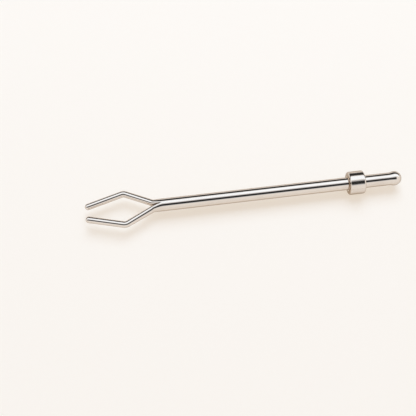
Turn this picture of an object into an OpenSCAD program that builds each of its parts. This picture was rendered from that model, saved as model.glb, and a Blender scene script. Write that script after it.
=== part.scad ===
// Tweezer bodkin for drawing elastic or cord through a casing, in millimetres.
// A round rod carries two spring wires side by side. Their free ends are bent out and in again as
// a pair of jaws. A ring slides forward along the rod to close and lock the jaws, and a ball tip
// ends the tail. The tool lies along X, with the jaws at -X and the ball tip at +X. The wires lie
// side by side in the XY plane. Z is 0 where the ring touches the table.
// Stations are measured along the axis from the foremost point of the jaws.

/* [Wires and jaws] */
// Diameter of each spring wire
wire_d = 1.5; // [1.2:0.05:1.8]
// Gap between the two wires where they run side by side
wire_gap = 0.04; // [0.02:0.01:0.3]
// Distance along the axis from the jaw tips to the widest bend
tip_reach = 9.15; // [7:0.05:13]
// Distance along the axis from the widest bend to the crotch
flare_reach = 6.6; // [5:0.05:10]
// Distance between the wires' centre lines at the widest bend
jaw_spread = 8.0; // [6:0.1:12]
// Distance between the wires' centre lines at the tips
tip_spread = 3.3; // [2.4:0.05:5]
// Radius of every bend, on the wire's centre line
bend_r = 1.5; // [1:0.1:2.5]
// How much a wire's radius shrinks where it is bent
bend_thinning = 0.005; // [0.005:0.005:0.02]
// Length of the bare wires between the crotch and the rod's nose
twin_len = 7.6; // [4:0.1:20]

/* [Rod] */
// Diameter of the rod
rod_d = 3.0; // [2.8:0.05:3.8]
// Length of the rod from its nose to the ball tip
rod_len = 48.0; // [38:0.5:90]
// Length of the ground nose, from its point to the full round section
nose_len = 12.0; // [8:0.5:18]
// Depth of the wires' seats beyond the ground nose
seat_len = 1.5; // [0.5:0.1:6]
// Width of the saw slit between the two seats
slit_w = 0.5; // [0.4:0.05:0.7]
// Radius of the nose at its point
point_r = 0.36; // [0.35:0.01:0.5]

/* [Ball tip] */
// How far the ball stands proud of the rod, all round
ball_proud = 0.2; // [0.1:0.05:1]
// Radius of the hollow neck between the rod and the ball
neck_r = 3.0; // [1:0.1:6]
// Length of the plain collar in front of the neck
collar_len = 0.5; // [0.3:0.1:3]
// Diameter of the spigot that carries the ball tip
spigot_d = 1.9; // [1.2:0.1:2.2]
// Length of the spigot
spigot_len = 2.4; // [1.5:0.1:2.8]
// Air left behind the end of the spigot
spigot_relief = 0.2; // [0.1:0.05:0.4]

/* [Locking ring] */
// Wall of the ring, from its bore to its outside
ring_wall = 1.2; // [1.15:0.05:3]
// Length of the ring
ring_len = 3.7; // [2.5:0.1:6]
// Radius of the ring's outer edges
ring_edge_r = 0.4; // [0.1:0.05:0.8]
// Depth of the chamfers at the ends of the bore
ring_chamfer = 0.3; // [0.1:0.05:0.6]
// Distance from the ring's tail face to the front of the ball tip, as parked
ring_parked = 5.6; // [0.5:0.1:20]

/* [Clearances] */
// Radial clearance of the ring over the widest section that it slides on
ring_fit = 0.03; // [0.03:0.01:0.08]
// Radial clearance of each wire in its seat
seat_fit = 0.01; // [0.005:0.005:0.03]
// Radial clearance of the spigot in the ball tip
spigot_fit = 0.01; // [0.005:0.005:0.03]
// Radial clearance where a jaw turns against its stem
hinge_fit = 0.02; // [0.01:0.01:0.05]

/* [Hidden] */
$fn = 64;
LEFT = -1;
RIGHT = 1;
wire_r = wire_d / 2;
rod_r = rod_d / 2;
ball_r = rod_r + ball_proud;
wire_y = (wire_d + wire_gap) / 2;
// The ring slides on the rod and over the two wires side by side
bore_r = max(rod_r, wire_y + wire_r) + ring_fit;
ring_r = bore_r + ring_wall;

// Angles of the jaws to the axis, behind and in front of the widest bend
flare_angle = atan2(jaw_spread / 2 - wire_y, flare_reach);
tip_angle = atan2((jaw_spread - tip_spread) / 2, tip_reach - wire_r);
wide_angle = flare_angle + tip_angle;
// How far a bend's round part reaches from its corner along each straight
crotch_tangent = bend_r * tan(flare_angle / 2);
wide_tangent = bend_r * tan(wide_angle / 2);

// Stations along the axis, from the jaw tips
crotch_s = tip_reach + flare_reach;
pivot_s = crotch_s + crotch_tangent;
nose_s = crotch_s + twin_len;
round_s = nose_s + nose_len;
seat_end_s = round_s + seat_len;
joint_s = nose_s + rod_len;
neck_s = joint_s + collar_len;
neck_run = sqrt(pow(ball_r + neck_r, 2) - pow(rod_r + neck_r, 2));
ball_s = neck_s + neck_run;
total_len = ball_s + ball_r;
ring_s = joint_s - ring_parked - ring_len;

// The nose is ground to one shallow arc that runs out smoothly into the round rod
nose_drop = rod_r - point_r;
grind_r = (pow(nose_len, 2) + pow(nose_drop, 2)) / (2 * nose_drop);
// The knuckle on which a jaw turns is a little wider than the wire, so the wire keeps its section
knuckle_r = wire_r + 0.01;
// How far each straight stretch of wire laps into the bend beside it
lap = 0.05;
// How far a cut runs past the solid that it cuts
over = 1;

axis_z = ring_r;
front_x = -total_len / 2;

// Puts a shape that is modelled along Z on the tool's axis, at a station
module at_station(s, y = 0) {
    translate([front_x + s, y, axis_z])
        rotate([0, 90, 0])
            children();
}

// Puts a flat shape in the plane of the wires, with its X towards the ball tip
module in_wire_plane(s, y = 0) {
    translate([front_x + s, y, axis_z])
        children();
}

// A straight stretch of wire from the origin along X, which laps into the bends at its ends
module straight_wire(length) {
    translate([-lap, 0])
        rotate([0, 90, 0])
            cylinder(r = wire_r, h = length + 2 * lap);
}

// The last stretch of a wire: it laps into the bend behind it and has a round end
module tip_wire(length) {
    rotate([0, 90, 0])
        rotate_extrude() {
            translate([0, -lap])
                square([wire_r, length + lap]);
            intersection() {
                translate([0, length])
                    circle(r = wire_r);
                translate([0, length])
                    square(wire_r);
            }
        }
}

// A bend of wire about the origin, from the angle a on through the angle turn
module bent_wire(a, turn) {
    rotate([0, 0, a])
        rotate_extrude(angle = turn)
            translate([bend_r, 0])
                circle(r = wire_r - bend_thinning);
}

// Half outline of the rod: distance from the axis, then distance from the nose's point
module rod_profile() {
    difference() {
        square([rod_r, rod_len]);
        difference() {
            translate([0, -over])
                square([rod_d, nose_len + over]);
            translate([rod_r - grind_r, nose_len])
                circle(r = grind_r, $fn = 720);
        }
    }
    translate([0, rod_len - over])
        square([spigot_d / 2, spigot_len + over]);
}

module wire_seats() {
    for (side = [LEFT, RIGHT])
        at_station(nose_s - over, side * wire_y)
            cylinder(r = wire_r + seat_fit, h = seat_end_s - nose_s + over);
    in_wire_plane(nose_s - over)
        translate([0, -rod_d, -slit_w / 2])
            cube([seat_end_s - nose_s + over, 2 * rod_d, slit_w]);
}

module shaft_rod() {
    color([0.80, 0.79, 0.77])
        difference() {
            at_station(nose_s)
                rotate_extrude()
                    rod_profile();
            wire_seats();
        }
}

// Half outline of the ball tip: distance from the axis, then distance from the joint
module ball_tip_profile() {
    reach = ball_r / (ball_r + neck_r);
    difference() {
        union() {
            square([rod_r, collar_len]);
            translate([0, collar_len])
                polygon([
                    [0, 0],
                    [rod_r, 0],
                    [reach * (rod_r + neck_r), neck_run * (1 - reach)],
                    [0, neck_run]
                ]);
            intersection() {
                translate([0, collar_len + neck_run])
                    circle(r = ball_r);
                translate([0, collar_len + neck_run * (1 - reach)])
                    square([ball_r + over, 2 * ball_r]);
            }
        }
        translate([rod_r + neck_r, collar_len])
            circle(r = neck_r);
    }
}

module ball_tip() {
    color([0.82, 0.81, 0.79])
        at_station(joint_s)
            difference() {
                rotate_extrude()
                    ball_tip_profile();
                translate([0, 0, -over])
                    cylinder(r = spigot_d / 2 + spigot_fit, h = spigot_len + spigot_relief + over);
            }
}

// The part of a wire that is held in the rod. Its front is hollowed where the jaw turns.
module wire_stem(side) {
    difference() {
        at_station(pivot_s, side * wire_y)
            cylinder(r = wire_r, h = seat_end_s - pivot_s);
        in_wire_plane(pivot_s, side * wire_y)
            cylinder(r = knuckle_r + hinge_fit, h = wire_d + 2 * over, center = true);
    }
}

// The knuckle: the end of a wire, rounded about the upright axis on which the jaw turns
module knuckle() {
    intersection() {
        straight_wire(wire_d);
        cylinder(r = knuckle_r, h = wire_d + 2 * over, center = true);
    }
}

// The right-hand jaw. The left-hand one is its mirror image.
module one_jaw() {
    flare_len = flare_reach / cos(flare_angle) - crotch_tangent - wide_tangent;
    tip_len = (tip_reach - wire_r) / cos(tip_angle) - wide_tangent;
    in_wire_plane(pivot_s, wire_y) {
        knuckle();
        translate([0, bend_r])
            bent_wire(-90 - flare_angle, flare_angle);
        translate([-crotch_tangent, 0])
            rotate([0, 0, 180 - flare_angle])
                translate([crotch_tangent, 0]) {
                    straight_wire(flare_len);
                    translate([flare_len, bend_r])
                        bent_wire(-90, wide_angle);
                    translate([flare_len + wide_tangent, 0])
                        rotate([0, 0, wide_angle])
                            translate([wide_tangent, 0])
                                tip_wire(tip_len);
                }
    }
}

module left_wire() {
    color([0.84, 0.83, 0.81])
        wire_stem(LEFT);
}

module right_wire() {
    color([0.84, 0.83, 0.81])
        wire_stem(RIGHT);
}

module left_jaw() {
    color([0.86, 0.85, 0.83])
        mirror([0, 1, 0])
            one_jaw();
}

module right_jaw() {
    color([0.86, 0.85, 0.83])
        one_jaw();
}

// Half section of the ring: distance from the axis, then distance from the front face
module ring_section() {
    difference() {
        union() {
            translate([bore_r, 0])
                square([ring_r - ring_edge_r - bore_r, ring_len]);
            translate([bore_r, ring_edge_r])
                square([ring_r - bore_r, ring_len - 2 * ring_edge_r]);
            for (end = [ring_edge_r, ring_len - ring_edge_r])
                translate([ring_r - ring_edge_r, end])
                    circle(r = ring_edge_r);
        }
        for (end = [0, ring_len])
            translate([bore_r, end])
                rotate(45)
                    square(ring_chamfer * sqrt(2), center = true);
    }
}

module locking_ring() {
    color([0.78, 0.77, 0.75])
        at_station(ring_s)
            rotate_extrude()
                ring_section();
}

shaft_rod();
ball_tip();
left_wire();
right_wire();
left_jaw();
right_jaw();
locking_ring();
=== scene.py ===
# Looks of the tweezer bodkin: polished metal finishes, unbroken spring wires, floor, light and camera.
# Blender works in metres. The values below are in millimetres and go through MM.
import math
import bmesh
import bpy
from mathutils import Euler, Matrix, Vector


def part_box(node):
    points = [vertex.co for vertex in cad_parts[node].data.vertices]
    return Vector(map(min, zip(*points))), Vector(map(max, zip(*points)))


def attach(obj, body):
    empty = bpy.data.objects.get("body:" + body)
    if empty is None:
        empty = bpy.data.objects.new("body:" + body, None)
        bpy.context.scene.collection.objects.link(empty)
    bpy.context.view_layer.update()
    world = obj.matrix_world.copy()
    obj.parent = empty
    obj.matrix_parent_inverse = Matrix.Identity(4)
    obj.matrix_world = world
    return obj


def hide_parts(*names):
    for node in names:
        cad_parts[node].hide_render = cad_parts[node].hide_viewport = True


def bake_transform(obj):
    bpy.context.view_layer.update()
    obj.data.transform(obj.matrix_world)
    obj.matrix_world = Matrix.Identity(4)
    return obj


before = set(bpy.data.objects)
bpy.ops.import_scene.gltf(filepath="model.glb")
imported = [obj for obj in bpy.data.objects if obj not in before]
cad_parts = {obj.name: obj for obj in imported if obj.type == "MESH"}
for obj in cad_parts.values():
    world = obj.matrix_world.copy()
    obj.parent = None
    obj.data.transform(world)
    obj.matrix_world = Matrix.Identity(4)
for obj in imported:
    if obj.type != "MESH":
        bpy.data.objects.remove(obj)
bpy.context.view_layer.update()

MM = 0.001

# Sizes of the wires, as in the CAD model
WIRE_D = 1.5
WIRE_Y = 0.77
TIP_REACH = 9.15
FLARE_REACH = 6.6
JAW_SPREAD = 8.0
TIP_SPREAD = 3.3
BEND_R = 1.5
AXIS_Z = 2.75
WIRE_SIDES = 48
BEND_STEPS = 20
CAP_STEPS = 12
# Behind the crotch the two wires grow from round ones into the two halves of the round rod
ROD_R = 1.5
HALF_GAP = 0.005
MERGE_BEHIND = 2.4
MERGE_AHEAD = 1.2
MERGE_STEPS = 24

# Sizes of the ball tip and the locking ring, as in the CAD model
BALL_R = 1.7
NECK_R = 3.0
COLLAR_LEN = 0.5
RING_BORE_R = 1.55
RING_EDGE_R = 0.4
RING_CHAMFER = 0.3
TURNED_SIDES = 128
ARC_STEPS = 16

# The camera: its place, its height above the horizon, its turn and its focal length in pixels of the photo
PHOTO_SIZE = 416
CAMERA_PLACE = (-17.23, -66.214, 141.415)
CAMERA_ELEVATION = 65.025
CAMERA_TURN = 7.2705
FOCAL_PIXELS = 657.5

FLOOR_COLOUR = (0.95, 0.915, 0.879)
FLOOR_SIZE = 3000.0
SKY_COLOUR = (1.0, 0.985, 0.96)
SKY_STRENGTH = 0.5
# The share of the floor's colour that takes the shadow. The rest glows, so that shadows stay light and warm.
SHADOW_SHARE = (0.34, 0.44, 0.55)

# Tint of the metal where it is seen at a shallow angle
RIM_TINT = (0.5, 0.43, 0.36)

# Cards stand this far from the object, and their ends are this far from their middle
CARD_DISTANCE = 700.0
CARD_END = 2000.0


def add_node(tree, kind, **values):
    """A shader node with its properties and input values set."""
    node = tree.nodes.new(kind)
    for name, value in values.items():
        if name in node.inputs:
            node.inputs[name].default_value = value
        else:
            setattr(node, name, value)
    return node


def new_material(name):
    material = bpy.data.materials.new(name)
    material.use_nodes = True
    material.node_tree.nodes.clear()
    return material, material.node_tree


def stretched_noise(tree, stretch, scale, detail=3.0):
    """Noise on the object's own coordinates, drawn out along the axes where stretch is small."""
    place = add_node(tree, "ShaderNodeTexCoord")
    mapping = add_node(tree, "ShaderNodeMapping")
    mapping.inputs["Scale"].default_value = stretch
    noise = add_node(tree, "ShaderNodeTexNoise", Scale=scale, Detail=detail)
    tree.links.new(place.outputs["Object"], mapping.inputs["Vector"])
    tree.links.new(mapping.outputs["Vector"], noise.inputs["Vector"])
    return noise.outputs["Fac"]


def remap(tree, value, low, high, start=0.3, end=0.7):
    node = add_node(tree, "ShaderNodeMapRange")
    node.inputs["From Min"].default_value = start
    node.inputs["From Max"].default_value = end
    node.inputs["To Min"].default_value = low
    node.inputs["To Max"].default_value = high
    tree.links.new(value, node.inputs["Value"])
    return node.outputs["Result"]


def polished_metal(name, colour, dull_colour, roughness, line_stretch, line_depth):
    """Bright metal with faint polishing lines and hazy patches."""
    material, tree = new_material(name)
    output = add_node(tree, "ShaderNodeOutputMaterial")
    shader = add_node(tree, "ShaderNodeBsdfPrincipled", Metallic=1.0)
    shader.inputs["Specular Tint"].default_value = (*RIM_TINT, 1)
    patches = stretched_noise(tree, (1, 1, 1), 260, 4.0)
    lines = stretched_noise(tree, line_stretch, 2600, 4.0)
    tint = add_node(tree, "ShaderNodeMix", data_type="RGBA")
    tint.inputs["A"].default_value = (*colour, 1)
    tint.inputs["B"].default_value = (*dull_colour, 1)
    tree.links.new(remap(tree, patches, 0, 1, 0.45, 0.75), tint.inputs["Factor"])
    tree.links.new(tint.outputs["Result"], shader.inputs["Base Color"])
    haze = add_node(tree, "ShaderNodeMath", operation="ADD")
    tree.links.new(remap(tree, patches, roughness * 0.8, roughness * 1.5), haze.inputs[0])
    tree.links.new(remap(tree, lines, 0, roughness * 0.5), haze.inputs[1])
    tree.links.new(haze.outputs["Value"], shader.inputs["Roughness"])
    bump = add_node(tree, "ShaderNodeBump", Strength=line_depth, Distance=0.00002)
    tree.links.new(lines, bump.inputs["Height"])
    tree.links.new(bump.outputs["Normal"], shader.inputs["Normal"])
    tree.links.new(shader.outputs["BSDF"], output.inputs["Surface"])
    return material


def seen_by(tree, *kinds):
    """1 for light that reaches the camera or the surfaces named by these kinds of ray, and 0 for the rest."""
    path = add_node(tree, "ShaderNodeLightPath")
    seen = path.outputs[kinds[0]]
    for kind in kinds[1:]:
        either = add_node(tree, "ShaderNodeMath", operation="MAXIMUM")
        tree.links.new(seen, either.inputs[0])
        tree.links.new(path.outputs[kind], either.inputs[1])
        seen = either.outputs["Value"]
    return seen


def floor_material():
    """Pale matt paper with a faint tooth.

    Part of its colour glows for the camera, reflections and clear materials, so they see light and warm shadows.
    """
    material, tree = new_material("floor_paper")
    output = add_node(tree, "ShaderNodeOutputMaterial")
    shader = add_node(tree, "ShaderNodeBsdfPrincipled", Roughness=0.9)
    shader.inputs["Specular IOR Level"].default_value = 0.0
    shaded = [c * share for c, share in zip(FLOOR_COLOUR, SHADOW_SHARE)]
    glowing = [c - part for c, part in zip(FLOOR_COLOUR, shaded)]
    tooth = add_node(tree, "ShaderNodeMix", data_type="RGBA")
    tooth.inputs["A"].default_value = (*shaded, 1)
    tooth.inputs["B"].default_value = (*(0.98 * c for c in shaded), 1)
    tree.links.new(stretched_noise(tree, (1, 1, 1), 900), tooth.inputs["Factor"])
    direct = seen_by(tree, "Is Camera Ray", "Is Glossy Ray", "Is Transmission Ray")
    paper = add_node(tree, "ShaderNodeMix", data_type="RGBA")
    tree.links.new(direct, paper.inputs["Factor"])
    paper.inputs["A"].default_value = (*FLOOR_COLOUR, 1)
    tree.links.new(tooth.outputs["Result"], paper.inputs["B"])
    tree.links.new(paper.outputs["Result"], shader.inputs["Base Color"])
    shader.inputs["Emission Color"].default_value = (*glowing, 1)
    tree.links.new(direct, shader.inputs["Emission Strength"])
    tree.links.new(shader.outputs["BSDF"], output.inputs["Surface"])
    return material


def wire_path():
    """Centre line of the wire on the positive side, from the rod to its tip, and the crotch's place, in millimetres."""
    front_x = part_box("left_jaw")[0][0] / MM
    flare = math.atan2(JAW_SPREAD / 2 - WIRE_Y, FLARE_REACH)
    close = math.atan2((JAW_SPREAD - TIP_SPREAD) / 2, TIP_REACH - WIRE_D / 2)
    wide = flare + close
    crotch = Vector((front_x + TIP_REACH + FLARE_REACH, WIRE_Y))
    widest = Vector((front_x + TIP_REACH, JAW_SPREAD / 2))
    tip = Vector((front_x + WIRE_D / 2, TIP_SPREAD / 2))
    rear = Vector((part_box("left_wire")[1][0] / MM, WIRE_Y))
    points = []
    merge_start = crotch.x + MERGE_BEHIND
    points.append(rear)
    for k in range(MERGE_STEPS):
        points.append(Vector((merge_start - (MERGE_BEHIND - BEND_R / 2) * k / MERGE_STEPS, WIRE_Y)))
    for corner, before, after, turn in ((crotch, rear, widest, flare), (widest, crotch, tip, -wide)):
        reach = BEND_R * math.tan(abs(turn) / 2)
        start = corner + (before - corner).normalized() * reach
        heading = (corner - before).normalized()
        left = Vector((-heading.y, heading.x))
        centre = start + left * (BEND_R if turn < 0 else -BEND_R)
        for k in range(BEND_STEPS + 1):
            spin = Matrix.Rotation(-turn * k / BEND_STEPS, 2)
            points.append(centre + spin @ (start - centre))
    points.append(tip)
    return points, crotch.x


def smooth_step(value, low, high):
    """0 at low and below, 1 at high and above, with no corner between."""
    t = min(max((value - low) / (high - low), 0.0), 1.0)
    return t * t * (3 - 2 * t)


def wire_section(angle, merge):
    """A point of the wire's outline, from its centre. Merge is 0 for the round wire and 1 for half the rod."""
    radius = WIRE_D / 2
    round_y = radius * math.cos(angle)
    round_z = radius * math.sin(angle)
    half_y = max(ROD_R * math.cos(angle), HALF_GAP) - WIRE_Y
    half_z = ROD_R * math.sin(angle)
    return round_y + (half_y - round_y) * merge, round_z + (half_z - round_z) * merge


def wire_mesh(name, side):
    """One spring wire swept along its path, with a round tip. Its rear is half of the round rod."""
    path, crotch_x = wire_path()
    mesh = bmesh.new()
    rings = []

    def add_ring(centre, heading, scale):
        merge = smooth_step(centre.x, crotch_x - MERGE_AHEAD, crotch_x + MERGE_BEHIND)
        outward = Vector((heading.y, -heading.x))
        ring = []
        for k in range(WIRE_SIDES):
            y, z = wire_section(2 * math.pi * k / WIRE_SIDES, merge)
            spot = centre + outward * y * scale
            ring.append(mesh.verts.new(Vector((spot.x, side * spot.y, AXIS_Z + z * scale)) * MM))
        rings.append(ring)

    for k, point in enumerate(path):
        before = path[max(k - 1, 0)]
        after = path[min(k + 1, len(path) - 1)]
        add_ring(point, (after - before).normalized(), 1.0)
    heading = (path[-1] - path[-2]).normalized()
    radius = WIRE_D / 2
    for k in range(1, CAP_STEPS):
        angle = math.pi / 2 * k / CAP_STEPS
        add_ring(path[-1] + heading * radius * math.sin(angle), heading, math.cos(angle))
    for a, b in zip(rings, rings[1:]):
        for k in range(WIRE_SIDES):
            n = (k + 1) % WIRE_SIDES
            mesh.faces.new((a[k], a[n], b[n], b[k]))
    mesh.faces.new(rings[0])
    end = path[-1] + heading * radius
    top = mesh.verts.new(Vector((end.x, side * end.y, AXIS_Z)) * MM)
    for k in range(WIRE_SIDES):
        mesh.faces.new((rings[-1][k], rings[-1][(k + 1) % WIRE_SIDES], top))
    # The edges between the flat and the round side are sharp where the halves lie together
    for a, b in zip(rings[:MERGE_STEPS // 2], rings[1:]):
        for k in (WIRE_SIDES // 4, 3 * WIRE_SIDES // 4):
            mesh.edges.get((a[k], b[k])).smooth = False
    return finish_mesh(mesh, name, rings[0])


def finish_mesh(mesh, name, flat_ring=()):
    """Makes an object of a mesh, with smooth faces and sharp edges round its flat end."""
    bmesh.ops.recalc_face_normals(mesh, faces=mesh.faces)
    for face in mesh.faces:
        face.smooth = True
    for k, vert in enumerate(flat_ring):
        mesh.edges.get((vert, flat_ring[k - 1])).smooth = False
    data = bpy.data.meshes.new(name)
    mesh.to_mesh(data)
    mesh.free()
    piece = bpy.data.objects.new(name, data)
    bpy.context.scene.collection.objects.link(piece)
    return piece


def arc(centre, radius, start, end):
    """Points of an outline on a round stretch. Angles are in degrees from the tail's direction."""
    points = []
    for k in range(ARC_STEPS + 1):
        angle = math.radians(start + (end - start) * k / ARC_STEPS)
        points.append((centre[0] + radius * math.cos(angle), centre[1] + radius * math.sin(angle)))
    return points


def turned_mesh(name, outline, corners, closed=False):
    """A piece turned about the tool's axis. The outline holds places along X and radii, and corners stay sharp."""
    mesh = bmesh.new()
    rings = []
    for x, radius in outline:
        ring = []
        for k in range(TURNED_SIDES):
            angle = 2 * math.pi * k / TURNED_SIDES
            ring.append(mesh.verts.new(Vector((x, radius * math.cos(angle), AXIS_Z + radius * math.sin(angle))) * MM))
        rings.append(ring)
    following = rings[1:] + rings[:1] if closed else rings[1:]
    for a, b in zip(rings, following):
        for k in range(TURNED_SIDES):
            mesh.faces.new((a[k - 1], a[k], b[k], b[k - 1]))
    if not closed:
        mesh.faces.new(rings[0])
        mesh.faces.new(rings[-1])
    for corner in corners:
        ring = rings[outline.index(corner)]
        for k, vert in enumerate(ring):
            mesh.edges.get((vert, ring[k - 1])).smooth = False
    return finish_mesh(mesh, name)


def add_turned(name, node, outline, corners, material, body="shaft", closed=False):
    piece = turned_mesh(name, outline, corners, closed)
    piece.data.materials.append(material)
    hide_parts(node)
    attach(piece, body)
    return piece


def add_rod(material):
    """The round rod, from the roots of its two halves to the ball tip."""
    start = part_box("left_wire")[1][0] / MM
    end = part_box("ball_tip")[0][0] / MM
    outline = [(start, ROD_R), (end, ROD_R)]
    add_turned("round_rod", "shaft_rod", outline, outline, material)


def add_ball(material):
    """The ball tip: a short collar, a hollow neck and the ball."""
    low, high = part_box("ball_tip")
    start, end = low.x / MM, high.x / MM
    ball_x = end - BALL_R
    neck_x = start + COLLAR_LEN
    meet = math.degrees(math.acos((ROD_R + NECK_R) / (BALL_R + NECK_R)))
    neck = arc((neck_x, ROD_R + NECK_R), NECK_R, -90, -90 + meet)
    ball = arc((ball_x, 0), BALL_R, 90 + meet, 2)
    outline = [(start, ROD_R)] + neck + ball[1:]
    add_turned("ball_end", "ball_tip", outline, [outline[0]], material)


def add_ring_piece(material):
    """The locking ring, with rounded outer edges and a chamfer at each end of its bore."""
    low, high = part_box("locking_ring")
    start, end = low.x / MM, high.x / MM
    outer = (high.y - low.y) / 2 / MM
    chamfer_r = RING_BORE_R + RING_CHAMFER
    corners = [
        (start + RING_CHAMFER, RING_BORE_R),
        (start, chamfer_r),
        (end, chamfer_r),
        (end - RING_CHAMFER, RING_BORE_R),
    ]
    front = arc((start + RING_EDGE_R, outer - RING_EDGE_R), RING_EDGE_R, 180, 90)
    back = arc((end - RING_EDGE_R, outer - RING_EDGE_R), RING_EDGE_R, 90, 0)
    outline = corners[:2] + front + back + corners[2:]
    add_turned("sliding_ring", "locking_ring", outline, corners, material, "ring", closed=True)


def add_wire(name, side, stem, jaw, material):
    """A whole spring wire in place of its stem and its jaw."""
    piece = wire_mesh(name, side)
    piece.data.materials.append(material)
    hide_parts(stem, jaw)
    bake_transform(piece)
    return piece


def add_floor():
    half = FLOOR_SIZE / 2 * MM
    data = bpy.data.meshes.new("floor")
    data.from_pydata([(-half, -half, 0), (half, -half, 0), (half, half, 0), (-half, half, 0)], [], [(0, 1, 2, 3)])
    data.materials.append(floor_material())
    floor = bpy.data.objects.new("floor", data)
    bpy.context.scene.collection.objects.link(floor)


def card_material(name, colour, grades):
    """A card that glows by its grades, which are places across it from 0 to 1 with their brightness.

    Light that the floor has scattered finds it plain white, so that the cards don't darken the shadows.
    """
    material, tree = new_material(name)
    output = add_node(tree, "ShaderNodeOutputMaterial")
    glow = add_node(tree, "ShaderNodeEmission", Strength=1.0)
    place = add_node(tree, "ShaderNodeTexCoord")
    split = add_node(tree, "ShaderNodeSeparateXYZ")
    tree.links.new(place.outputs["Generated"], split.inputs["Vector"])
    ramp = add_node(tree, "ShaderNodeValToRGB")
    elements = ramp.color_ramp.elements
    elements.remove(elements[0])
    elements[0].position = grades[0][0]
    elements[0].color = (*(grades[0][1] * c for c in colour), 1)
    for position, brightness in grades[1:]:
        elements.new(position).color = (*(brightness * c for c in colour), 1)
    tree.links.new(split.outputs["Y"], ramp.inputs["Fac"])
    path = add_node(tree, "ShaderNodeLightPath")
    scattered = add_node(tree, "ShaderNodeMath", operation="GREATER_THAN")
    scattered.inputs[1].default_value = 0.5
    tree.links.new(path.outputs["Diffuse Depth"], scattered.inputs[0])
    mix = add_node(tree, "ShaderNodeMix", data_type="RGBA")
    tree.links.new(scattered.outputs["Value"], mix.inputs["Factor"])
    tree.links.new(ramp.outputs["Color"], mix.inputs["A"])
    mix.inputs["B"].default_value = (*SKY_COLOUR, 1)
    tree.links.new(mix.outputs["Result"], glow.inputs["Color"])
    tree.links.new(glow.outputs["Emission"], output.inputs["Surface"])
    return material


def add_card(name, low, high, colour, grades, right_end=CARD_END):
    """A long glowing card beside the set, seen only in reflections, where it paints a band of reflection on the metal.

    It faces the object and spans the angles from low to high, which count from straight up towards the back.
    """
    middle = math.radians((low + high) / 2)
    reach = CARD_DISTANCE * math.tan(math.radians((high - low) / 2))
    left, right, b = -CARD_END * MM, right_end * MM, reach * MM
    data = bpy.data.meshes.new(name)
    data.from_pydata([(left, -b, 0), (right, -b, 0), (right, b, 0), (left, b, 0)], [], [(0, 1, 2, 3)])
    across = []
    for angle, brightness in grades:
        offset = CARD_DISTANCE * math.tan(math.radians(angle) - middle)
        across.append((0.5 + offset / reach / 2, brightness))
    data.materials.append(card_material(name, colour, across))
    card = bpy.data.objects.new(name, data)
    card.location = Vector((0, math.sin(middle), math.cos(middle))) * CARD_DISTANCE * MM
    card.rotation_euler = (-middle, 0, 0)
    card.visible_camera = False
    card.visible_diffuse = False
    card.visible_shadow = False
    bpy.context.scene.collection.objects.link(card)


def add_area_light(name, distance, elevation, azimuth, size, power):
    """A soft lamp that faces the object. Azimuth 0 is behind the object, and 90 is to its right."""
    lamp = bpy.data.lights.new(name, "AREA")
    lamp.shape = "RECTANGLE"
    lamp.size = size[0] * MM
    lamp.size_y = size[1] * MM
    lamp.energy = power
    e, a = math.radians(elevation), math.radians(azimuth)
    away = Vector((math.cos(e) * math.sin(a), math.cos(e) * math.cos(a), math.sin(e)))
    holder = bpy.data.objects.new(name, lamp)
    holder.location = away * distance * MM
    holder.rotation_euler = away.to_track_quat("Z", "Y").to_euler()
    holder.visible_glossy = False
    bpy.context.scene.collection.objects.link(holder)


def set_world():
    """A pale even sky. The camera, reflections and clear materials see it at full white."""
    world = bpy.data.worlds.new("studio")
    world.use_nodes = True
    tree = world.node_tree
    background = tree.nodes["Background"]
    background.inputs["Color"].default_value = (*SKY_COLOUR, 1)
    seen = seen_by(tree, "Is Camera Ray", "Is Glossy Ray", "Is Transmission Ray")
    strength = remap(tree, seen, SKY_STRENGTH, 1.0, 0.0, 1.0)
    tree.links.new(strength, background.inputs["Strength"])
    bpy.context.scene.world = world


def add_camera():
    lens = bpy.data.cameras.new("camera")
    lens.sensor_width = 36.0
    lens.sensor_fit = "HORIZONTAL"
    lens.lens = FOCAL_PIXELS / PHOTO_SIZE * lens.sensor_width
    lens.clip_start = 0.005
    lens.clip_end = 10.0
    camera = bpy.data.objects.new("camera", lens)
    camera.location = Vector(CAMERA_PLACE) * MM
    camera.rotation_euler = Euler((math.radians(90 - CAMERA_ELEVATION), 0, math.radians(-CAMERA_TURN)))
    bpy.context.scene.collection.objects.link(camera)
    bpy.context.scene.camera = camera


NICKEL = (0.76, 0.685, 0.62)
DULL_NICKEL = (0.72, 0.645, 0.58)
rod_metal = polished_metal("rod_metal", NICKEL, DULL_NICKEL, 0.025, (0.02, 1, 1), 0.02)
tip_metal = polished_metal("tip_metal", NICKEL, DULL_NICKEL, 0.025, (1, 0.05, 0.05), 0.02)
wire_metal = polished_metal("wire_metal", NICKEL, DULL_NICKEL, 0.03, (0.05, 1, 1), 0.02)
ring_metal = polished_metal("ring_metal", (0.75, 0.675, 0.61), (0.71, 0.64, 0.575), 0.07, (1, 0.02, 0.02), 0.08)

add_rod(rod_metal)
add_ball(tip_metal)
add_ring_piece(ring_metal)
add_wire("left_spring_wire", -1, "left_wire", "left_jaw", wire_metal)
add_wire("right_spring_wire", 1, "right_wire", "right_jaw", wire_metal)

add_floor()
add_area_light("key_lamp", 700, 57, 12, (520, 520), 3.8)
set_world()
# The cards paint the reflections on the metal: the dark cards paint its dark bands, and the bright card paints its
# white highlight band in place of the lamp, which reflections don't see.
back_grades = [(45, 0.8), (49, 0.25), (52, 0.04), (79, 0.04), (83, 0.2), (86, 0.4), (89, 0.55)]
add_card("dark_card_behind", 43, 89.5, (1, 1.02, 1.05), back_grades)
front_grades = [(-51, 0.85), (-46, 0.5), (-42, 0.14), (-38, 0.03), (-18, 0.03), (-13, 0.2), (-8, 0.6), (-2, 0.9)]
add_card("dark_card_front", -53, 0, (1, 1.04, 1.1), front_grades, right_end=380)
add_card("bright_card_above", 3, 41, (1.28, 1.42, 1.58), [(3, 1.0), (41, 1.0)])
add_camera()

bpy.context.scene.view_settings.view_transform = "Standard"
